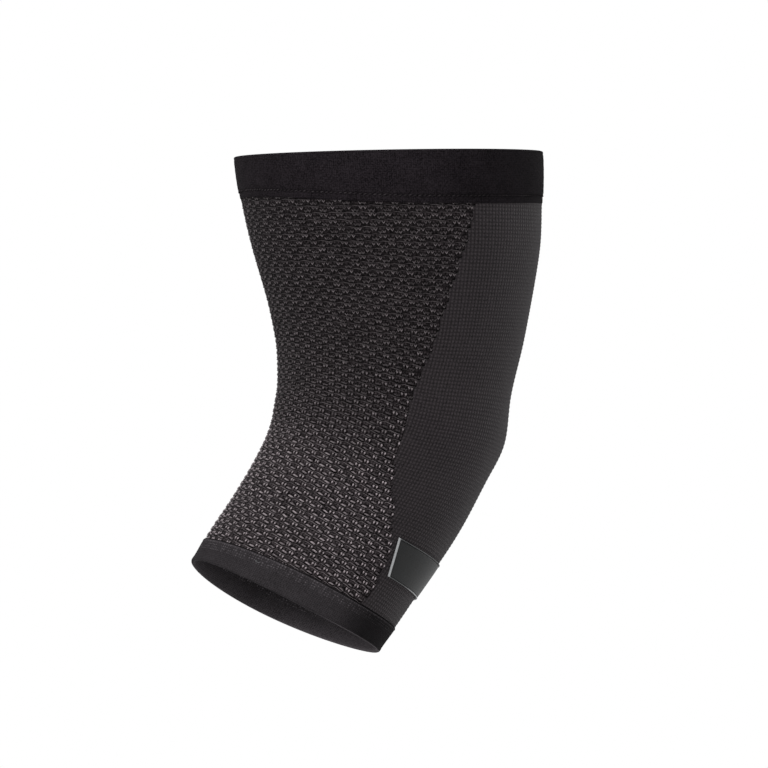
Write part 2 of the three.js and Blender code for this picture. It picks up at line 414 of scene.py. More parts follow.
def mesh_relief(wale, row):
    """The height of the mesh panel's ground over its middle height."""
    across, up = cell_of(wale, row)
    stretch = stretch_at(level_of_row(row))
    stitch_rise = 0.15
    stitch = stitch_rise * bump_shape(across - STITCH_MIDDLE, 1.1) * bump_shape(up - 0.55, 0.5)
    groove = from_close(stretch, 0.22, 0.03) * groove_at(row)
    return stitch - groove - from_close(stretch, 0.9, 0.1) * hole_at(wale, row)


RIB_RISE = 0.09
WALE_RISE = 0.02


def front_relief(wale, row):
    """The height of the front panel over its middle height: one rib for each course."""
    ribs = RIB_RISE * np.cos(2 * np.pi * row * COURSES_PER_ROW)
    return ribs + WALE_RISE * np.cos(2 * np.pi * wale)


# Meshes

# The bake map: its margin, how much of it a grid fills, and the strips of a panel's two faces.
BAKE_MARGIN = 0.004
BAKE_WIDE = 0.992
OUTER_STRIP = 0.8
INNER_STRIP_FOOT = 0.83
INNER_STRIP = 0.165
# The share of light on a panel's inner face.
INNER_SHADE = 0.5


def make_mesh(name, points, faces, maps, shade=None):
    """An object from points in millimetres. faces is a list of whole-number arrays, one for each kind of
    face, and maps gives each texture map's name and a list of arrays of corner places to match. shade
    is a share of light for each point, which a material may read."""
    mesh = bpy.data.meshes.new(name)
    mesh.vertices.add(len(points))
    mesh.vertices.foreach_set("co", (points * MM).astype(np.float32).ravel())
    corners = np.concatenate([f.ravel() for f in faces]).astype(np.int32)
    sizes = np.concatenate([np.full(len(f), f.shape[1]) for f in faces])
    mesh.loops.add(len(corners))
    mesh.loops.foreach_set("vertex_index", corners)
    mesh.polygons.add(len(sizes))
    starts = np.concatenate([[0], np.cumsum(sizes)[:-1]]).astype(np.int32)
    mesh.polygons.foreach_set("loop_start", starts)
    mesh.polygons.foreach_set("use_smooth", np.ones(len(sizes), bool))
    for key, places in maps.items():
        layer = mesh.uv_layers.new(name=key)
        flat = np.concatenate([p.reshape(-1, 2) for p in places]).astype(np.float32)
        layer.data.foreach_set("uv", flat.ravel())
    if shade is not None:
        layer = mesh.attributes.new("shade", "FLOAT", "POINT")
        layer.data.foreach_set("value", shade.astype(np.float32).ravel())
    mesh.update(calc_edges=True)
    mesh.validate()
    piece = bpy.data.objects.new(name, mesh)
    bpy.context.scene.collection.objects.link(piece)
    return piece


def quads(rows, columns, wraps):
    """The corners of a grid's quads, as rows and columns, counter-clockwise from outside. A grid that
    wraps has a last column that joins its first."""
    wide = columns if wraps else columns - 1
    row, col = np.meshgrid(np.arange(rows - 1), np.arange(wide), indexing="ij")
    row, col = row.ravel(), col.ravel()
    return np.stack([row, row, row + 1, row + 1], 1), np.stack([col, col + 1, col + 1, col], 1)


def panel_mesh(name, level, angle, heights, outer_knit, step, shade=None):
    """A panel of fabric from a grid of levels and angles, closed round its edges. heights: those of its
    fine outer face, and that of its coarse inner one, which takes every step-th row and column."""
    few = (slice(None, None, step),) * 2
    outer = sleeve_point(level, angle, heights[0])
    inner = sleeve_point(level[few], angle[few], heights[1])
    inner_knit = outer_knit[few]
    rows, columns = outer.shape[:2]
    low_rows, low_columns = inner.shape[:2]
    first_inner = rows * columns
    points = np.concatenate([outer.reshape(-1, 3), inner.reshape(-1, 3)])

    def out(row, col):
        return row * columns + col

    def inn(row, col):
        return first_inner + row * low_columns + col

    def places(face_knit, row, col, foot, strip):
        rows, columns = face_knit.shape[:2]
        across = BAKE_MARGIN + BAKE_WIDE * col / (columns - 1)
        up = foot + strip * row / (rows - 1)
        return face_knit[row, col], np.stack([across, up], -1)

    faces, knit, bake = [], [], []

    def add(face, places):
        faces.append(face)
        knit.append(places[0])
        bake.append(places[1])

    row, col = quads(rows, columns, False)
    add(out(row, col), places(outer_knit, row, col, BAKE_MARGIN, OUTER_STRIP))
    row, col = quads(low_rows, low_columns, False)
    row, col = row[:, ::-1], col[:, ::-1]
    add(inn(row, col), places(inner_knit, row, col, INNER_STRIP_FOOT, INNER_STRIP))

    run = np.arange(step + 1)
    side = np.arange(low_columns - 1)[:, None]
    end = np.arange(low_rows - 1)[:, None]
    edges = [
        ((0, side * step + run[::-1]), (0, side + np.array([0, 1]))),
        ((rows - 1, side * step + run), (low_rows - 1, side + np.array([1, 0]))),
        ((end * step + run, 0), (end + np.array([1, 0]), 0)),
        ((end * step + run[::-1], columns - 1), (end + np.array([0, 1]), low_columns - 1)),
    ]
    for (out_row, out_col), (inn_row, inn_col) in edges:
        out_row, out_col = np.broadcast_arrays(out_row, out_col)
        inn_row, inn_col = np.broadcast_arrays(inn_row, inn_col)
        face = np.concatenate([out(out_row, out_col), inn(inn_row, inn_col)], 1)
        out_knit, out_bake = places(outer_knit, out_row, out_col, BAKE_MARGIN, OUTER_STRIP)
        inn_bake = out_bake[:, [-1, 0]] + np.array([0.0, BAKE_MARGIN])
        edge_knit = np.concatenate([out_knit, inner_knit[inn_row, inn_col]], 1)
        add(face, (edge_knit, np.concatenate([out_bake, inn_bake], 1)))
    if shade is not None:
        inner_shade = np.full(low_rows * low_columns, INNER_SHADE)
        shade = np.concatenate([shade.ravel(), inner_shade])
    return make_mesh(name, points, faces, {"knit": knit, "OFBake": bake}, shade)


def ring_mesh(name, points, knit, shade=None):
    """A closed ring from a grid of points that wraps both ways: columns round the leg, and rows once
    round the wall's own section, up its outer face and down its inner one."""
    rows, columns = points.shape[:2]
    row, col = quads(rows + 1, columns, True)
    face = (row % rows) * columns + col % columns
    across = BAKE_MARGIN + BAKE_WIDE * col / columns
    bake = np.stack([across, BAKE_MARGIN + BAKE_WIDE * row / rows], -1)
    maps = {"knit": [knit[row, col]], "OFBake": [bake]}
    return make_mesh(name, points.reshape(-1, 3), [face], maps, shade)


# A strand: its thickness over its width, how its ends taper, and its margin in its cell of the bake map.
STRAND_FLATNESS = 0.85
TAPER_REACH = 0.97
TAPER_POWER = 4
TAPER_LEAST = 0.02
CELL_MARGIN = 0.1


def tapered(steps):
    """The share of its radius that a strand has at each step along it."""
    along = np.linspace(-TAPER_REACH, TAPER_REACH, steps)
    return np.sqrt(np.clip(1 - along**TAPER_POWER, TAPER_LEAST, 1))


def strand_mesh(name, paths, outs, radii, knit, sides, tones):
    """Many short strands as one mesh. paths: the points along each, strand by strand. outs: the way out
    from the leg at each strand. radii: the radius at each point. knit: each strand's place in the knit.
    tones: the share of light at each point."""
    count, steps = paths.shape[:2]
    tangent = np.gradient(paths, axis=1)
    tangent /= np.linalg.norm(tangent, axis=-1, keepdims=True)
    side = np.cross(tangent, outs[:, None])
    side /= np.linalg.norm(side, axis=-1, keepdims=True)
    rise = np.cross(side, tangent)
    turn = 2 * np.pi * np.arange(sides) / sides
    ring = side[:, :, None] * np.cos(turn)[:, None]
    ring = ring + rise[:, :, None] * np.sin(turn)[:, None] * STRAND_FLATNESS
    points = paths[:, :, None] + ring * radii[:, :, None, None]
    row, col = quads(steps, sides, True)
    start = np.arange(count)[:, None, None] * steps * sides
    face = (start + (row * sides + col % sides)[None]).reshape(-1, 4)
    caps = start[:, 0] + np.arange(sides)[None]
    caps = np.concatenate([caps[:, ::-1], caps + (steps - 1) * sides])
    per_side = math.ceil(math.sqrt(count))
    cell = 1 / per_side
    home = np.stack([np.arange(count) % per_side, np.arange(count) // per_side], 1) * cell
    inside = 1 - 2 * CELL_MARGIN
    local = CELL_MARGIN + inside * np.stack([row / (steps - 1), col / sides], -1)
    local *= cell
    bake = (home[:, None, None] + local[None]).reshape(-1, 4, 2)
    centre = np.concatenate([home, home])[:, None] + np.full((1, sides, 2), CELL_MARGIN / 2 * cell)
    place = np.repeat(knit[:, None], len(row), 0).reshape(-1, 1, 2)
    side_knit = np.broadcast_to(place, (len(face), 4, 2))
    cap_knit = np.broadcast_to(np.concatenate([knit, knit])[:, None], (len(caps), sides, 2))
    maps = {"knit": [side_knit, cap_knit], "OFBake": [bake, centre]}
    shade = np.repeat(tones, sides, axis=1)
    return make_mesh(name, points.reshape(-1, 3), [face, caps], maps, shade)


# Materials

# Each material's colours, where it is darkest and where it is lightest.
COLOURS = {
    "rib_knit": ((0.0038, 0.003, 0.0033), (0.052, 0.0432, 0.0472)),
    "mesh_ground": ((0.002, 0.0016, 0.0017), (0.062, 0.0515, 0.055)),
    "mesh_yarn": ((0.008, 0.0066, 0.007), (0.42, 0.365, 0.382)),
    "thigh_elastic": ((0.0015, 0.0011, 0.0014), (0.036, 0.0295, 0.0345)),
    "shin_elastic": ((0.003, 0.0026, 0.0029), (0.136, 0.122, 0.132)),
    "hem_thread": ((0.010, 0.0088, 0.0095), (0.080, 0.070, 0.075)),
    "loose_thread": ((0.05, 0.05, 0.05), (0.22, 0.22, 0.23)),
    "label_satin": ((0.0115, 0.0118, 0.012), (0.027, 0.0277, 0.0284)),
    "label_edge": ((0.02, 0.021, 0.022), (0.60, 0.61, 0.62)),
    "floor_paper": ((0.78, 0.78, 0.78), (0.82, 0.82, 0.82)),
}
# How fine each kind of noise is: how many of its patches lie in a metre.
GRAIN = {
    "knit_fluff": 1500,
    "yarn_fluff": 1800,
    "band_fluff": 1300,
    "thread_fluff": 2200,
    "satin_fluff": 900,
    "mesh_specks": 800,
    "band_stitches": 520,
    "band_cloud": 90,
    "knit_cloud": 45,
    "paper": 60,
}
SHEEN_ROUGHNESS = 0.45


class Nodes:
    """A material with a Principled shader, and short calls that add nodes to it."""

    def __init__(self, name, roughness, sheen=0.0, specular=0.3):
        self.material = bpy.data.materials.new(name)
        self.material.use_nodes = True
        self.tree = self.material.node_tree
        self.shader = self.tree.nodes["Principled BSDF"]
        self.shader.inputs["Roughness"].default_value = roughness
        self.shader.inputs["Specular IOR Level"].default_value = specular
        self.shader.inputs["Sheen Weight"].default_value = sheen
        self.shader.inputs["Sheen Roughness"].default_value = SHEEN_ROUGHNESS

    def add(self, kind, *links, **values):
        """A node with its settings, and what goes into its first inputs: numbers or other outputs."""
        made = self.tree.nodes.new(kind)
        for key, value in values.items():
            setattr(made, key, value)
        for socket, link in zip(made.inputs, links):
            self.put(link, socket)
        return made

    def put(self, value, socket):
        """Links an output to a socket, or sets the socket to a number."""
        if isinstance(value, bpy.types.NodeSocket):
            self.tree.links.new(value, socket)
        else:
            socket.default_value = value

    def maths(self, operation, *values):
        """What a Math node makes of some values."""
        return self.add("ShaderNodeMath", *values, operation=operation).outputs[0]

    def times(self, value, other):
        """One value times another."""
        return self.maths("MULTIPLY", value, other)

    def times_plus(self, value, other, more):
        """One value times another, and a third added."""
        return self.maths("MULTIPLY_ADD", value, other, more)

    def knit_place(self):
        """The knit map's two numbers."""
        uv = self.add("ShaderNodeUVMap", uv_map="knit").outputs[0]
        split = self.add("ShaderNodeSeparateXYZ", uv)
        return split.outputs[0], split.outputs[1]

    def shade(self):
        """The piece's own share of light, given at its points."""
        return self.add("ShaderNodeAttribute", attribute_name="shade").outputs["Fac"]

    def object_place(self):
        """The place in the piece's own frame, in metres."""
        return self.add("ShaderNodeTexCoord").outputs["Object"]

    def noise(self, kind, detail=2.0):
        """Soft noise round 0.5, as fine as its row of GRAIN says."""
        made = self.add("ShaderNodeTexNoise")
        self.put(self.object_place(), made.inputs["Vector"])
        made.inputs["Scale"].default_value = GRAIN[kind]
        made.inputs["Detail"].default_value = detail
        return made.outputs["Fac"]

    def ramp(self, value, start, end):
        """0 at one value, 1 at another, and even in between."""
        made = self.add("ShaderNodeMapRange", value)
        made.inputs["From Min"].default_value = start
        made.inputs["From Max"].default_value = end
        return made.outputs[0]

    def grain(self, kind):
        """Noise spread over the whole range from 0 to 1, as specks of fluff."""
        return self.ramp(self.noise(kind), 0.35, 0.65)

    def wave(self, value, turns=1.0, offset=0.0):
        """A wave from 0 to 1 with so many crests for each unit, the first at the offset."""
        angle = self.times(self.maths("SUBTRACT", value, offset), 2 * math.pi * turns)
        return self.times_plus(self.maths("COSINE", angle), 0.5, 0.5)

    def paint(self, share, name):
        """Colours the material by a share between the two colours of a row of COLOURS."""
        made = self.add("ShaderNodeMix", data_type="RGBA")
        self.put(share, made.inputs["Factor"])
        for socket, colour in zip("AB", COLOURS[name]):
            made.inputs[socket].default_value = (*colour, 1)
        self.put(made.outputs["Result"], self.shader.inputs["Base Color"])

    def bump(self, height, distance):
        """Gives the surface relief from a height, whose unit is a distance in millimetres."""
        made = self.add("ShaderNodeBump")
        made.inputs["Strength"].default_value = 1.0
        made.inputs["Distance"].default_value = distance * MM
        self.put(height, made.inputs["Height"])
        self.put(made.outputs[0], self.shader.inputs["Normal"])


def rib_knit():
    """The front panel's close knit: a light dot for each stitch, on ribs that run round the leg."""
    n = Nodes("rib_knit", roughness=0.85, sheen=0.12, specular=0.12)
    wale, row = n.knit_place()
    across = n.wave(wale)
    up = n.wave(row, COURSES_PER_ROW)
    dot = n.times(across, up)
    fuzz = n.grain("knit_fluff")
    cloud = n.noise("knit_cloud")
    light = n.times_plus(dot, 0.55, n.times(fuzz, 0.4))
    light = n.times_plus(across, 0.15, light)
    light = n.times_plus(cloud, 0.2, light)
    n.paint(light, "rib_knit")
    n.bump(n.times_plus(fuzz, 0.5, dot), 0.25)
    return n.material


# Where the pores' painted shade sits up the row, and how dark it is.
PORE_ROW = 0.2
PORE_SHADE = 0.8


def pores(n, wale, row):
    """Painted shade in the small pores under the stitches, where the mesh is stretched wide: two in
    each motif.
    """
    from_stitch = n.maths("SUBTRACT", wale, STITCH_MIDDLE)
    motif = n.maths("COSINE", n.times(from_stitch, 2 * math.pi / WALES_PER_MOTIF))
    stagger = n.maths("COSINE", n.times(n.maths("SUBTRACT", row, PORE_ROW), math.pi))
    own = n.maths("MAXIMUM", n.times(motif, stagger), 0.0)
    in_row = n.maths("POWER", n.wave(row, 1.0, PORE_ROW), 2.0)
    spot = n.times(n.wave(wale, 1.0, 0.5), in_row)
    wide = n.ramp(row, float(row_at(CLOSE_LEVEL)), float(row_at(WIDE_LEVEL)))
    share = n.times(wide, PORE_SHADE)
    return n.times(n.times(n.maths("POWER", own, 0.5), spot), share)


def mesh_ground():
    """The mesh panel's ground, with painted shade in its holes, between its rows and by its floats' ends.
    """
    n = Nodes("mesh_ground", roughness=0.9, sheen=0.02, specular=0.06)
    wale, row = n.knit_place()
    dot = n.times(n.wave(wale, 1.0, 0.5), n.wave(row, COURSES_PER_ROW, 0.25))
    fuzz = n.grain("knit_fluff")
    speck = n.times_plus(n.grain("mesh_specks"), 1.4, 0.2)
    light = n.times_plus(dot, 0.8, n.times(fuzz, 0.4))
    light = n.times(light, speck)
    # Painted shade in the gaps beside each float's ends.
    corner = n.times(n.wave(wale, 0.5), n.wave(row, 1.0, 0.45))
    corner = n.maths("POWER", corner, 3.0)
    gap_lit = n.times_plus(corner, -0.75, 1.0)
    # The points carry painted shade in the holes and grooves, and painted light along the leg.
    seen = n.times(n.times(light, gap_lit), n.shade())
    seen = n.times(seen, n.maths("SUBTRACT", 1.0, pores(n, wale, row)))
    n.paint(seen, "mesh_ground")
    n.bump(light, 0.25)
    return n.material


def mesh_yarn(name):
    """A raised yarn of the mesh panel. Each strand has a tone of its own, about the share given at its
    points, which holds painted light along the leg and painted highlights and shade on the stitches.
    """
    n = Nodes(name, roughness=0.6, sheen=0.03, specular=0.14)
    place = n.add("ShaderNodeUVMap", uv_map="knit").outputs[0]
    own = n.add("ShaderNodeTexWhiteNoise", place, noise_dimensions="2D").outputs[0]
    fuzz = n.grain("yarn_fluff")
    light = n.times_plus(own, 1.1, n.times_plus(fuzz, 0.8, 0.05))
    light = n.times(light, n.shade())
    n.paint(light, "mesh_yarn")
    n.bump(fuzz, 0.08)
    return n.material


# The bands' knit, in millimetres: the width of a rib, the height of a course, the same two for the
# stitches that show as dots, and how softly their zone ends.
RIB_WIDTH = 1.1
COURSE_HEIGHT = 0.9
DOT_WIDTH = 1.6
DOT_HEIGHT = 1.3
DOTS_FADE = 0.8
DOTS_STRENGTH = 2.2


def band_knit(name, fluff, dots=None):
    """A band's dense elastic: fine ribs up the leg, under fluff of a given strength. The knit map is in
    millimetres here. dots is a height range of looser knit, whose stitches show as dots."""
    n = Nodes(name, roughness=0.85, sheen=0.01, specular=0.03)
    across, up = n.knit_place()
    rib = n.wave(across, 1 / RIB_WIDTH)
    course = n.wave(up, 1 / COURSE_HEIGHT)
    fuzz = n.grain("band_fluff")
    cloud = n.grain("band_cloud")
    light = n.times_plus(n.times(rib, course), 0.5, 0.62 - 0.62 * fluff)
    light = n.times_plus(fuzz, fluff, light)
    light = n.times_plus(cloud, 0.25 * fluff, light)
    light = n.times(light, 0.6)
    if dots:
        middle, half = (dots[0] + dots[1]) / 2, (dots[1] - dots[0]) / 2
        away = n.maths("ABSOLUTE", n.maths("SUBTRACT", up, middle))
        inside = n.ramp(away, half + DOTS_FADE, half - DOTS_FADE)
        stitches = n.times(n.wave(across, 1 / DOT_WIDTH), n.wave(up, 1 / DOT_HEIGHT))
        some = n.ramp(n.noise("band_stitches", detail=1.0), 0.42, 0.62)
        stitches = n.times(n.maths("POWER", stitches, 1.5), some)
        stitches = n.times(stitches, inside)
        light = n.times_plus(stitches, DOTS_STRENGTH, light)
    n.paint(n.times(light, n.shade()), name)
    n.bump(light, 0.2)
    return n.material


def thread(name, roughness=0.6, sheen=0.1, specular=0.3):
    """Sewing thread or a woven edge."""
    n = Nodes(name, roughness=roughness, sheen=sheen, specular=specular)
    fuzz = n.noise("thread_fluff")
    light = n.times_plus(fuzz, 0.6, 0.4)
    n.paint(n.times(light, n.shade()), name)
    n.bump(fuzz, 0.06)
    return n.material


def satin():
    """The label's smooth face, with its fine crosswise threads."""
    n = Nodes("label_satin", roughness=0.42, sheen=0.05, specular=0.2)
    thread_height = 0.42
    threads = n.wave(n.knit_place()[1], 1 / thread_height)
    fuzz = n.noise("satin_fluff")
    light = n.times_plus(threads, 0.35, n.times(fuzz, 0.6))
    n.paint(light, "label_satin")
    n.bump(light, 0.06)
    return n.material


# Pieces


def stand_for(piece, node, material):
    """The piece takes a CAD node's place, with a material, under the root body."""
    piece.data.materials.append(material)
    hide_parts(node)
    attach(piece, "root")
    return piece


# Heights out from the leg: the middle of the mesh's ground, and the panels' inner face.
GROUND = 1.35
INNER = 0.15

# How light each kind of yarn is along the leg: the same yarn is painted lighter down the shin, as
#  painted light. at: a level in millimetres from the knee.
YARN_TONES = table(
    "at float stitch line filling",
    (-120, 0.6, 0.92, 0.34, 0.2),
    (-45, 0.6, 0.9, 0.34, 0.2),
    (-15, 0.28, 0.40, 0.22, 0.18),
    (10, 0.16, 0.28, 0.17, 0.19),
    (50, 0.1, 0.26, 0.13, 0.21),
    (130, 0.09, 0.24, 0.13, 0.2),
)

# The rows that the panels run over, from under one band to under the other.
UNDER_BAND = 1.5
LOW_ROW = math.floor(float(row_at(-SHIN_RUN + BOTTOM_BAND_BACK - UNDER_BAND)))
HIGH_ROW = math.ceil(float(row_at(THIGH_RUN - TOP_BAND_BACK + UNDER_BAND)))


def row_lines(lines):
    """The rows' lines from the lowest to the highest, and the row that each line's edge belongs to."""
    row = np.append((np.arange(LOW_ROW, HIGH_ROW)[:, None] + np.array(lines)).ravel(), HIGH_ROW)
    return row, np.minimum(np.floor(row + 0.01), HIGH_ROW - 1)


FRONT_COLUMNS = 120
FRONT_GROUND = KNIT_WALL - 0.13


def front_panel():
    """The panel over the kneecap, with its ribs, whose edge steps by whole wales from row to row."""
    step = 4
    lines = step * COURSES_PER_ROW
    row, home = row_lines(np.arange(lines) / lines)
    share = np.linspace(-1, 1, FRONT_COLUMNS + 1)
    level = level_of_row(row)[:, None]
    reach = angle_of_wale(level, -edge_wale(home)[:, None])
    angle = reach * share
    wale = angle / wale_angle(level)
    level = level + pull_at(level, angle)
    height = FRONT_GROUND + front_relief(wale, row[:, None])
    knit = np.stack(np.broadcast_arrays(wale, row[:, None]), -1)
    piece = panel_mesh("front_panel_knit", level, angle, (height, INNER), knit, step)
    return stand_for(piece, "front_panel", rib_knit())


# The lines of points in each row of the mesh's ground, and the columns of its inner face.
MESH_LINES = [0.0, 0.15, 0.34, 0.53, 0.72, 0.88]
MESH_COLUMNS = 40

# The light on the mesh's ground: on the shin, on the thigh, and the levels where it changes.
SHIN_LIGHT = 1.75
THIGH_LIGHT = 0.85
LIGHT_FROM = -50
LIGHT_TO = 10


def mesh_ground_panel():
    """The ground of the mesh panel, with its holes and the groove between its rows, both in painted
    shade.
    """
    row, home = row_lines(MESH_LINES)
    step = len(MESH_LINES)
    share = np.linspace(-1, 1, MESH_COLUMNS * step + 1)
    wale = edge_wale(home)[:, None] * share
    row = np.broadcast_to(row[:, None], wale.shape)
    level, angle = pulled_place(row, wale)
    heights = GROUND + mesh_relief(wale, row), INNER
    knit = np.stack([wale, row], -1)
    stretch = stretch_at(level)
    # Painted shade in the holes and grooves, then painted light that is brighter down the shin.
    hole_shade = (1 - stretch) * hole_at(wale, row)
    shade = 1 - np.maximum(hole_shade, from_close(stretch, 0.6, 0.15) * groove_at(row))
    up_the_leg = np.clip((level - LIGHT_FROM) / (LIGHT_TO - LIGHT_FROM), 0, 1)
    shade *= SHIN_LIGHT + (THIGH_LIGHT - SHIN_LIGHT) * up_the_leg
    piece = panel_mesh("mesh_panel_ground", level, angle, heights, knit, step, shade)
    return stand_for(piece, "mesh_panel", mesh_ground())


def motif_places():
    """Each motif of the mesh: its row, and the wale where it starts, counted from the back's middle."""
    rows, wales = [], []
    for row in range(LOW_ROW, HIGH_ROW):
        stagger = (row % 2) * WALES_PER_MOTIF / 2
        reach = math.ceil(float(edge_wale(row + 0.5)) / WALES_PER_MOTIF) + 1
        for motif in range(-reach, reach + 1):
            rows.append(row)
            wales.append(motif * WALES_PER_MOTIF - stagger)
    return np.array(rows, float)[:, None], np.array(wales, float)[:, None]


# How far the yarns go under each band, in millimetres, and keep from the panel's edge, in wales.
UNDER_BOTTOM_BAND = 0.3
UNDER_TOP_BAND = 0.6
FROM_EDGE = 0.1


def on_mesh(wale, row):
    """Whether a place in the knit is on the mesh panel and clear of the two bands."""
    level, angle = pulled_place(row, wale)
    above = level > bottom_band_top(angle) - UNDER_BOTTOM_BAND
    below = level < top_band_foot(angle) + UNDER_TOP_BAND
    return above & below & (np.abs(wale) < edge_wale(row) - FROM_EDGE)


def yarn_tone(kind, level):
    """How light a kind of yarn is at a level, with its painted light along the leg."""
    return np.interp(level, YARN_TONES["at"], YARN_TONES[kind])


STRAND_STEPS = 5
STRAND_SIDES = 5
LINE_SIDES = 4

# How far strands stray: across in wales, up in rows, in rows from end to end, and in thickness.
UNEVEN_WALE = 0.08
UNEVEN_ROW = 0.03
UNEVEN_LEAN = 0.025
UNEVEN_THICK = 0.08

# How near the panel's edge the floats are dimmer and, on the shin, the stitches brighter.
NEAR_EDGE = math.radians(30)
FLOAT_DIMMER = 0.6
STITCH_BRIGHTER = 0.6


def strands(name, kind, wale, row, height, radius, random, sides=STRAND_SIDES, stitch_highlight=1.0):
    """Strands of the mesh from their paths in the knit's coordinates, a little uneven, and kept where
    they are on the mesh. kind is the column of YARN_TONES that they go by, and the last argument holds
    the painted highlights and shade that their tones are multiplied by from place to place."""
    count, steps = wale.shape
    wale = wale + random.normal(0, UNEVEN_WALE, (count, 1))
    row = row + random.normal(0, UNEVEN_ROW, (count, 1))
    row = row + random.normal(0, UNEVEN_LEAN, (count, 1)) * np.linspace(-1, 1, steps)
    thick = radius * random.normal(1, UNEVEN_THICK, (count, 1))
    kept = on_mesh(wale.mean(1), row.mean(1))
    every = np.broadcast_arrays(wale, row, thick, height, stitch_highlight)
    wale, row, thick, height, stitch_highlight = (measure[kept] for measure in every)
    level, angle = pulled_place(row, wale)
    paths = sleeve_point(level, angle, height)
    outs = outward(level.mean(1), angle.mean(1))
    knit = np.stack([wale.mean(1), row.mean(1)], -1)
    tones = yarn_tone(kind, level) * stitch_highlight
    from_edge = np.abs(np.abs(angle - np.pi) - (np.pi - panel_edge(level)))
    near_edge = np.clip(1 - from_edge / NEAR_EDGE, 0, 1)
    if kind == "float":
        tones *= 1 - FLOAT_DIMMER * near_edge
    if kind == "stitch":
        tones *= 1 + STITCH_BRIGHTER * near_edge * (1 - stretch_at(level))
    piece = strand_mesh(name, paths, outs, thick * tapered(steps), knit, sides, tones)
    return stand_for(piece, "mesh_panel", mesh_yarn(name))


# The middles of the motif's two stitches, and of the two thin ones that fill its float's place.
STITCHES = (2.5, 3.5)
FILLINGS = (0.5, 1.5)
FILLED_FROM = 0.15


def mesh_strands():
    """The raised yarns of the mesh. Every motif has a short float over its hole, two stitches beside
    it, and a thin yarn along the top of its row. Where the fabric is stretched wide, up the thigh,
    the stitches open, and two thin ones more show low in the row, in the float's place."""
    random = np.random.default_rng(SEED)
    rows, wales = motif_places()
    stretch = stretch_at(level_of_row(rows))
    run = np.linspace(0, 1, STRAND_STEPS)[None]

    float_wale = wales + 0.06 + 1.88 * run
    float_row = rows + 0.24 + 0.035 * np.sin(2 * np.pi * run)
    height = GROUND + 0.1 + 0.35 * np.sin(np.pi * run)
    thick = from_close(stretch, 0.44, 0.2)
    strands("mesh_floats", "float", float_wale, float_row, height, thick, random)

    line_wale = wales + WALES_PER_MOTIF * run
    line_row = rows + 0.94 + 0.07 * np.sin(2 * np.pi * run)
    height = GROUND + 0.16
    strands("mesh_top_yarns", "line", line_wale, line_row, height, 0.22, random, LINE_SIDES)

    lean = 2 * run - 1
    dip = 0.12 * np.abs(lean)
    # Painted highlight at the foot of each stitch's V, and painted shade at its tips, where the mesh is
    # stretched wide.
    stitch_highlight = 1 + stretch * (0.6 - np.abs(lean))
    foot = from_close(stretch, 0.42, 0.48)
    head = from_close(stretch, 0.74, 0.86)
    stitch_row = rows + foot + (head - foot) * np.abs(lean)
    height = GROUND + from_close(stretch, 0.42, 0.25) - dip
    thick = from_close(stretch, 0.41, 0.26)
    for number, middle in enumerate(STITCHES, 1):
        stitch_wale = wales + middle + lean * from_close(stretch, 0.12, 0.5)
        name = f"mesh_stitches_{number}"
        strands(name, "stitch", stitch_wale, stitch_row, height, thick, random, stitch_highlight=stitch_highlight)

    wide = stretch[:, 0] > FILLED_FROM
    rows, wales, stretch, stitch_highlight = rows[wide], wales[wide], stretch[wide], stitch_highlight[wide]
    filling_row = rows + 0.12 + 0.36 * np.abs(lean)
    height = GROUND + 0.2 - dip
    thick = from_close(stretch, 0.14, 0.24)
    for number, middle in enumerate(FILLINGS, len(STITCHES) + 1):
        filling_wale = wales + middle + lean * 0.48
        name = f"mesh_stitches_{number}"
        strands(name, "filling", filling_wale, filling_row, height, thick, random, stitch_highlight=stitch_highlight)


def front_share(angle, start, end):
    """1 towards the front of the leg and 0 behind, with a soft change between two angles."""
    turned = np.degrees(np.abs((angle + np.pi) % (2 * np.pi) - np.pi))
    return eased(np.clip((end - turned) / (end - start), 0, 1))


# A band's section runs once round its wall, up the outer face and down the inner one. up: a share of the
# band's height. rise: how many millimetres more. out: the height from the leg.


def band(name, profile, columns, foot, rim, light):
    """A band round the leg from its section. light gives the share of light at an angle."""
    angle = np.linspace(0, 2 * np.pi, columns, endpoint=False)
    share, extra, height = (profile[key][:, None] for key in ("up", "rise", "out"))
    low, high = foot(angle), rim(angle)
    level = low + (high - low) * share + extra
    points = sleeve_point(level, angle[None], height)
    distance = np.arange(columns + 1) / columns * 2 * np.pi * float(radius_at(float(low.mean())))
    up = (level - high)[np.append(np.arange(len(share)), 0)]
    up = np.concatenate([up, up[:, :1]], 1)
    knit = np.stack(np.broadcast_arrays(distance[None], up), -1)
    return ring_mesh(name, points, knit, np.broadcast_to(light(angle[None]), level.shape))


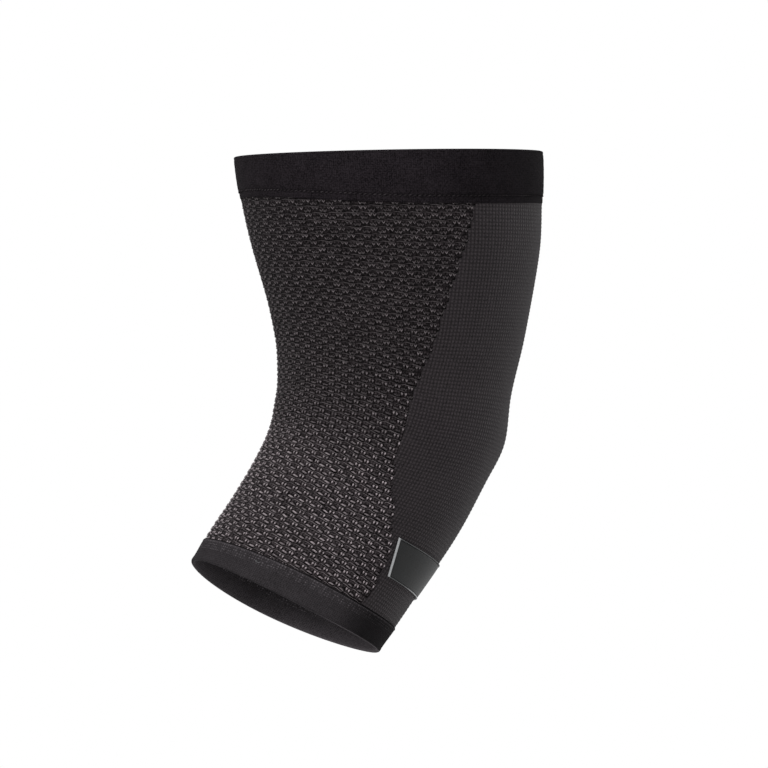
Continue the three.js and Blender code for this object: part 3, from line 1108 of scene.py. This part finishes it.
def top_band():
    """The thigh band: a thin hem below a sewn groove, the full elastic above it, and a folded rim."""
    ripple, ripple_turns = 0.04, 40
    shares = np.linspace(0.3, 0.88, 12)
    face = [(up, 0.0, TOP_BAND_WALL + ripple * math.sin(up * ripple_turns)) for up in shares]
    profile = table(
        "up rise out",
        (0.0, 0.25, 0.9), (0.0, 0.05, 1.35), (0.0, 0.2, 1.75), (0.0, 0.7, 1.98), (0.0, 1.6, 2.02),
        (0.0, 2.6, 2.0), (0.0, 3.2, 1.95), (0.0, 3.6, 1.78), (0.0, 3.9, 1.6), (0.0, 4.15, 1.62),
        (0.0, 4.45, 2.0), (0.0, 4.9, 2.28), (0.0, 5.8, TOP_BAND_WALL), *face,
        (1.0, -2.6, 2.42), (1.0, -1.8, 2.3), (1.0, -1.45, 2.2), (1.0, -1.1, 2.32), (1.0, -0.6, 2.36),
        (1.0, -0.2, 2.15), (1.0, 0.05, 1.7), (1.0, 0.1, 1.2), (1.0, 0.0, 0.7), (1.0, -0.3, 0.3),
        (1.0, -0.8, 0.08), (1.0, -2.0, 0.0), (0.75, 0.0, 0.0), (0.5, 0.0, 0.0), (0.25, 0.0, 0.0),
        (0.0, 2.0, 0.0), (0.0, 0.9, 0.1), (0.0, 0.45, 0.4),
    )

    # Painted shade: the band is darker towards the front of the leg.
    def light(turn):
        return 1 - 0.5 * front_share(turn, 50, 110)

    piece = band("top_band_elastic", profile, 420, top_band_foot, top_rim, light)
    return stand_for(piece, "top_band", band_knit("thigh_elastic", fluff=0.85))


def lit(*points, inside=1.0, more=0.0, lip=0.0):
    """Points of the shin band's section with their light: the share of it on the inner face, how much is
    added, and the share of what falls on the lip."""
    return [(*point, inside, more, lip) for point in points]


def bottom_band():
    """The shin band: a thin raised line at its upper edge, and a turned rim."""
    wall = BOTTOM_BAND_WALL
    profile = table(
        "up rise out inside more lip",
        *lit((0.0, 0.55, 0.15), (0.0, 0.2, 0.5)),
        # The turned rim's lip, which takes a painted highlight.
        *lit((0.0, 0.02, 1.0), (0.0, 0.0, 1.5), (0.0, 0.2, 2.0), lip=1.0),
        *lit((0.0, 0.6, wall), (0.0, 1.2, 2.42), (0.0, 1.9, 2.4), (0.0, 2.5, wall), (0.0, 3.2, 2.25)),
        *lit((0.4, 0.0, 2.25), (0.55, 0.0, 2.26), (0.7, 0.0, 2.28), (0.85, 0.0, wall), (1.0, -1.5, wall)),
        # Painted highlight on the ridge below the upper edge.
        *lit((1.0, -1.0, 2.22), (1.0, -0.75, wall), more=0.3),
        # Painted shadow along the band's upper edge, where it meets the mesh.
        *lit((1.0, -0.4, 2.42), (1.0, -0.05, wall), (1.0, 0.1, 2.0), (1.0, 0.0, 1.6), more=-0.4),
        *lit((1.0, -0.2, 0.9), (1.0, -0.6, 0.3)),
        # Painted shade on the inner face, darker further up inside the band, away from its rim.
        *lit((1.0, -1.4, 0.02), inside=0.5),
        *lit((0.7, 0.0, 0.0), inside=0.55),
        *lit((0.45, 0.0, 0.0), inside=0.75),
        *lit((0.0, 2.8, 0.0)),
        *lit((0.0, 1.4, 0.02), inside=1.1),
    )
    out, inside, more, lip = (profile[key][:, None] for key in ("out", "inside", "more", "lip"))
    inner_face_below = 0.6

    # Painted light and shade: the outer face darker towards the front of the leg, the inner face  lighter
    # there, and a painted highlight on the lip at the front.
    def light(turn):
        outer = 0.52 - 0.4 * front_share(turn, 52, 84)
        inner = inside * (0.85 + 1.2 * front_share(turn, 35, 100))
        plain = np.where(out > inner_face_below, outer, inner)
        return plain + lip * 0.9 * front_share(turn, 60, 95) + more

    piece = band("bottom_band_elastic", profile, 300, bottom_rim, bottom_band_top, light)
    elastic = band_knit("shin_elastic", fluff=0.4, dots=(-5.2, -0.8))
    return stand_for(piece, "bottom_band", elastic)


# The radius, in millimetres, that turns a stitch's angle into its place in the knit map.
SEAM_RADIUS = 50


def sewing(name, node, places, radius, tones, material):
    """Short sewing stitches on a band, from their levels, angles and heights, and each one's light."""
    level, angle, height = places
    paths = sleeve_point(level, angle, height)
    outs = outward(level.mean(1), angle.mean(1))
    radii = np.broadcast_to(radius * tapered(level.shape[1]), level.shape)
    knit = np.stack([angle.mean(1) * SEAM_RADIUS, level.mean(1)], -1)
    tones = np.broadcast_to(tones[:, None], level.shape)
    piece = strand_mesh(name, paths, outs, radii, knit, STRAND_SIDES, tones)
    return stand_for(piece, node, material)


def hem_stitches():
    """The row of small stitches that holds the thigh band's hem."""
    random = np.random.default_rng(SEED + 1)
    count, half_turn, lean, stray = 192, 0.011, 0.3, 0.08
    middle = (np.arange(count)[:, None] + 0.5) / count * 2 * np.pi
    run = np.linspace(-1, 1, STRAND_STEPS)[None]
    angle = middle + run * half_turn
    level = top_band_foot(angle) + 4.05 + lean * run + random.normal(0, stray, (count, 1))
    places = level, angle, 1.95 + 0.25 * (1 - run**2)
    # Each stitch's own tone, with painted shade towards the front of the leg.
    tones = random.uniform(0.35, 1.0, count) * (1 - 0.8 * front_share(middle[:, 0], 60, 110))
    seam = thread("hem_thread", roughness=0.8, sheen=0.0, specular=0.04)
    return sewing("top_band_stitches", "top_band", places, 0.3, tones, seam)


def loose_thread():
    """A tiny loop of thread that has worked loose on the shin band, towards the back."""
    turn = np.linspace(0.15, 0.95, 9)[None] * 2 * np.pi
    angle = math.radians(-131) + 0.022 * np.sin(turn)
    level = bottom_rim(angle) + 9.9 + 0.4 * np.cos(turn)
    places = level, angle, 2.55
    loop = thread("loose_thread")
    return sewing("bottom_band_thread", "bottom_band", places, 0.16, np.ones(1), loop)


def label_place(across, up):
    """A place on the label's flat pattern: a distance from the front and a height above its foot."""
    angle = across / radius_at(bottom_band_top(0.0) + LABEL_RISE + up)
    return bottom_band_top(angle) + LABEL_RISE + up, angle


def label_half(up):
    """Half the label's width at a height above its foot."""
    return (LABEL_FOOT_WIDTH + (LABEL_TOP_WIDTH - LABEL_FOOT_WIDTH) * up / LABEL_HEIGHT) / 2


# Heights out from the leg: the label's underside, which lies a little in the knit, and its face at the
# edge. full: how much higher its middle is. seam: between the patch and its trim.
LABEL_LOW = KNIT_WALL + GAP - 0.25
LABEL_FACE = KNIT_WALL + GAP + 0.35
LABEL_FULL = 0.2
LABEL_SEAM = 0.05


def label_patch():
    """The satin patch, a thin sheet that is a little full between its sewn edges."""
    rows, columns, step = 25, 145, 4
    up = np.linspace(0, 1, rows)[:, None]
    across = np.linspace(-1, 1, columns)[None]
    foot = TRIM_RAIL + LABEL_SEAM
    rise = foot + (LABEL_HEIGHT - 2 * foot) * up
    side = across * (label_half(rise) - TRIM_SIDE - LABEL_SEAM)
    level, angle = label_place(side, rise)
    full = (1 - (2 * up - 1) ** 6) * (1 - across**20)
    heights = LABEL_FACE + LABEL_FULL * full, LABEL_LOW
    knit = np.stack(np.broadcast_arrays(side, rise), -1)
    piece = panel_mesh("label_patch_satin", level, angle, heights, knit, step)
    return stand_for(piece, "label_patch", satin())


TRIM_THICKNESS = 0.95


def rounded(wave, power):
    """A wave from -1 to 1 made squarer, as a share from 0 to 1."""
    return 0.5 + 0.5 * np.sign(wave) * np.abs(wave) ** power


def label_trim():
    """The pale edging, one soft frame round the patch: wide at its two ends, thin above and below."""
    long_side, short_side, sides = 140, 24, 12
    half_loop = [(2 * i / long_side - 1, 0.0) for i in range(long_side)]
    half_loop += [(1.0, i / short_side) for i in range(short_side)]
    loop = np.array(half_loop + [(-a, 1 - u) for a, u in half_loop])
    turn = 2 * np.pi * np.arange(sides)[:, None] / sides
    inward = rounded(np.cos(turn), 0.6)
    height = LABEL_LOW + TRIM_THICKNESS * rounded(np.sin(turn), 0.7)
    rail, bar = TRIM_RAIL * inward, TRIM_SIDE * inward
    up = rail + loop[:, 1] * (LABEL_HEIGHT - 2 * rail)
    across = loop[:, 0] * (label_half(up) - bar)
    level, angle = label_place(across, up)
    points = sleeve_point(level, angle, height)
    round_label = np.arange(len(loop) + 1)[None] * 2.0
    round_section = np.arange(sides + 1)[:, None] * 0.3
    knit = np.stack(np.broadcast_arrays(round_label, round_section), -1)
    # Painted light on the trim: its end bars fully lit, its upper rail in painted shade, and its lower
    # rail in painted shade that turns into a painted highlight towards the front of the leg.
    bar_share = np.clip((np.abs(loop[:, 0]) - 0.985) / 0.01, 0, 1)
    rail_light = np.where(loop[:, 1] < 0.5, 0.14 + 0.8 * front_share(angle[0], 34, 50), 0.1)
    shade = np.broadcast_to(bar_share + (1 - bar_share) * rail_light, level.shape)
    piece = ring_mesh("label_trim_edging", points[::-1], knit, shade)
    trim = thread("label_edge", roughness=0.5)
    return stand_for(piece, "label_trim", trim)


# Light, floor and camera

# How bright the white surround is as a light. The camera sees it at full strength.
SURROUND = 0.5


def studio():
    """A white surround, which is brighter to the camera than as a light, and a pale floor below."""
    world = bpy.data.worlds.new("white")
    world.use_nodes = True
    tree = world.node_tree
    light_path = tree.nodes.new("ShaderNodeLightPath")
    strength = tree.nodes.new("ShaderNodeMapRange")
    strength.inputs["To Min"].default_value = SURROUND
    strength.inputs["To Max"].default_value = 1.0
    tree.links.new(light_path.outputs["Is Camera Ray"], strength.inputs["Value"])
    tree.nodes["Background"].inputs["Color"].default_value = (1, 1, 1, 1)
    tree.links.new(strength.outputs[0], tree.nodes["Background"].inputs["Strength"])
    bpy.context.scene.world = world
    bpy.context.scene.view_settings.view_transform = "Standard"
    bpy.context.scene.view_settings.look = "None"

    mesh = bpy.data.meshes.new("floor")
    half, below = 1.5, -0.32
    corners = [(-half, -half, below), (half, -half, below), (half, half, below), (-half, half, below)]
    mesh.from_pydata(corners, [], [(0, 1, 2, 3)])
    floor = bpy.data.objects.new("floor", mesh)
    bpy.context.scene.collection.objects.link(floor)
    pale = Nodes("floor_paper", roughness=0.9)
    pale.paint(pale.noise("paper"), "floor_paper")
    mesh.materials.append(pale.material)


def soft_light(name, place, size, power):
    """A square lamp that faces the knee: its place and size in metres, and its power in watts."""
    light = bpy.data.lights.new(name, "AREA")
    light.size = size
    light.energy = power
    lamp = bpy.data.objects.new(name, light)
    lamp.location = place
    lamp.rotation_euler = (-Vector(place)).to_track_quat("-Z", "Y").to_euler()
    bpy.context.scene.collection.objects.link(lamp)


def camera():
    """The photograph's view: from the side, a little behind, and level."""
    azimuth, elevation = math.radians(-18), math.radians(-0.7)
    distance = 4.5
    picture_pixels = 768
    metres_per_pixel = 0.00052
    aim_right, aim_up = -0.00208, 0.01872
    flat = math.cos(elevation)
    back = Vector((math.sin(azimuth) * flat, -math.cos(azimuth) * flat, math.sin(elevation)))
    right = Vector((math.cos(azimuth), math.sin(azimuth), 0))
    up = back.cross(right)
    data = bpy.data.cameras.new("camera")
    data.sensor_width = 36
    data.lens = data.sensor_width * distance / (picture_pixels * metres_per_pixel)
    data.clip_end = 50
    view = bpy.data.objects.new("camera", data)
    view.location = right * aim_right + up * aim_up + back * distance
    view.rotation_euler = back.to_track_quat("Z", "Y").to_euler()
    bpy.context.scene.collection.objects.link(view)
    bpy.context.scene.camera = view


camera()
studio()
soft_light("key", place=(-1.0, -1.3, 2.2), size=1.2, power=40)
soft_light("rim", place=(2.4, 0.5, 0.4), size=1.4, power=10)

front_panel()
mesh_ground_panel()
mesh_strands()
top_band()
hem_stitches()
bottom_band()
loose_thread()
label_patch()
label_trim()
